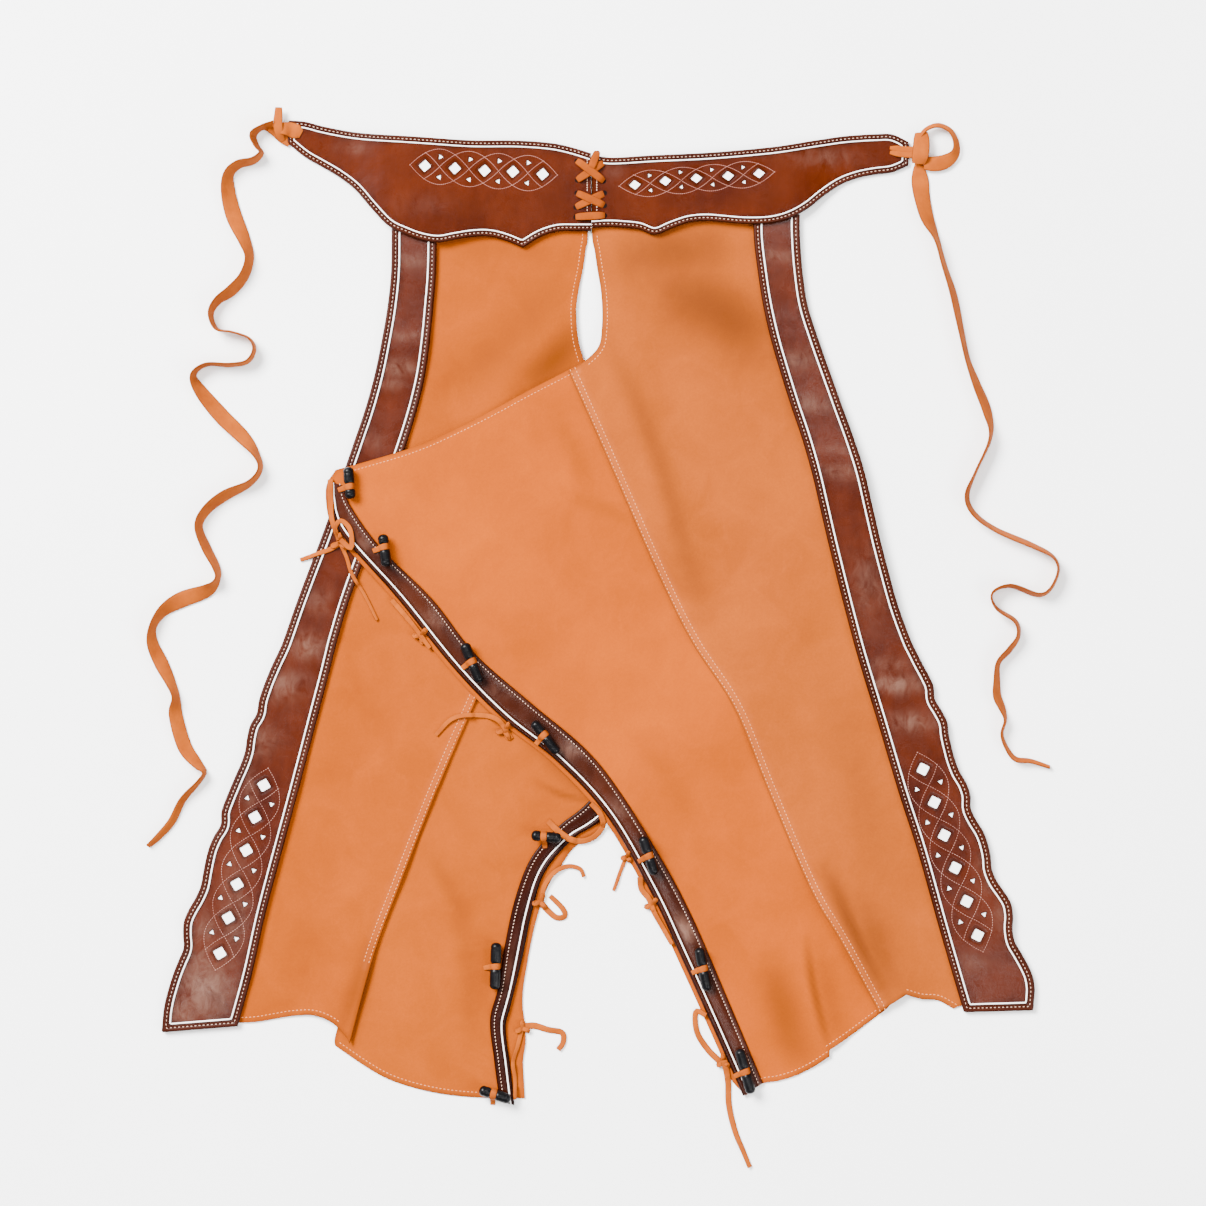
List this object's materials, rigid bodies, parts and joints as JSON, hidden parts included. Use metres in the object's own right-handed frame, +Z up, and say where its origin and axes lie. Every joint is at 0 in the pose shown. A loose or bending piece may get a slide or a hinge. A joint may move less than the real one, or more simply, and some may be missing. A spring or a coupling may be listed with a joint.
{
  "type": "leather chaps",
  "caption": "Pair of soft leather chaps laid flat, with stiff cut-work side bands, a laced belt, horn toggles on thongs and suede waist ties.",
  "frame": {"origin": "centre of the bottom of the box round the garment without its ties, knots and thong tails, on the surface that it lies on", "axes": "+Z up out of the surface, +Y from the hems to the belt, +X to the viewer's right as the garment lies with its front up"},
  "size_m": [0.9146, 1.0604, 0.0242],
  "materials": {
    "soft_leather": "soft nubuck-like tan leather, matt with a faint sheen",
    "glossy_leather": "stiff reddish brown leather, waxed and glossy",
    "binding_leather": "folded dark brown leather edge, satin",
    "white_leather": "off-white leather, satin",
    "horn": "polished black horn",
    "suede": "tan suede, napped",
    "thread": "waxed off-white thread"
  },
  "bodies": {
    "root": {"panel_left_back": "soft_leather", "panel_left_front": "soft_leather", "panel_right_back": "soft_leather", "panel_right_front": "soft_leather", "band_left": "glossy_leather", "band_right": "glossy_leather", "belt_left": "glossy_leather", "belt_right": "glossy_leather", "strip_left": "glossy_leather", "strip_right": "glossy_leather", "band_left_binding": "binding_leather", "band_left_piping": "white_leather", "band_left_underlay": "white_leather", "band_right_binding": "binding_leather", "band_right_piping": "white_leather", "band_right_underlay": "white_leather", "belt_left_binding": "binding_leather", "belt_left_piping": "white_leather", "belt_left_underlay": "white_leather", "belt_right_binding": "binding_leather", "belt_right_piping": "white_leather", "belt_right_underlay": "white_leather", "strip_left_piping": "white_leather", "strip_right_piping": "white_leather", "toggle_left_5": "horn", "thong_left_5": "suede", "toggle_left_6": "horn", "thong_left_6": "suede", "toggle_left_7": "horn", "thong_left_7": "suede", "toggle_right_1": "horn", "thong_right_1": "suede", "toggle_right_2": "horn", "thong_right_2": "suede", "toggle_right_3": "horn", "thong_right_3": "suede", "toggle_right_4": "horn", "thong_right_4": "suede", "toggle_right_5": "horn", "thong_right_5": "suede", "toggle_right_6": "horn", "thong_right_6": "suede", "toggle_right_7": "horn", "thong_right_7": "suede", "tails_left_6": "suede", "tails_left_7": "suede", "tails_left_loop": "suede", "tails_right_12": "suede", "tails_right_3": "suede", "tails_right_4": "suede", "tails_right_5": "suede", "tails_right_6": "suede", "tails_right_7": "suede", "knot_left": "suede", "knot_right": "suede", "tie_left": "suede", "tie_right": "suede", "lacing_bar": "suede", "lacing_lower": "suede", "lacing_upper": "suede"}
  },
  "joints": []
}
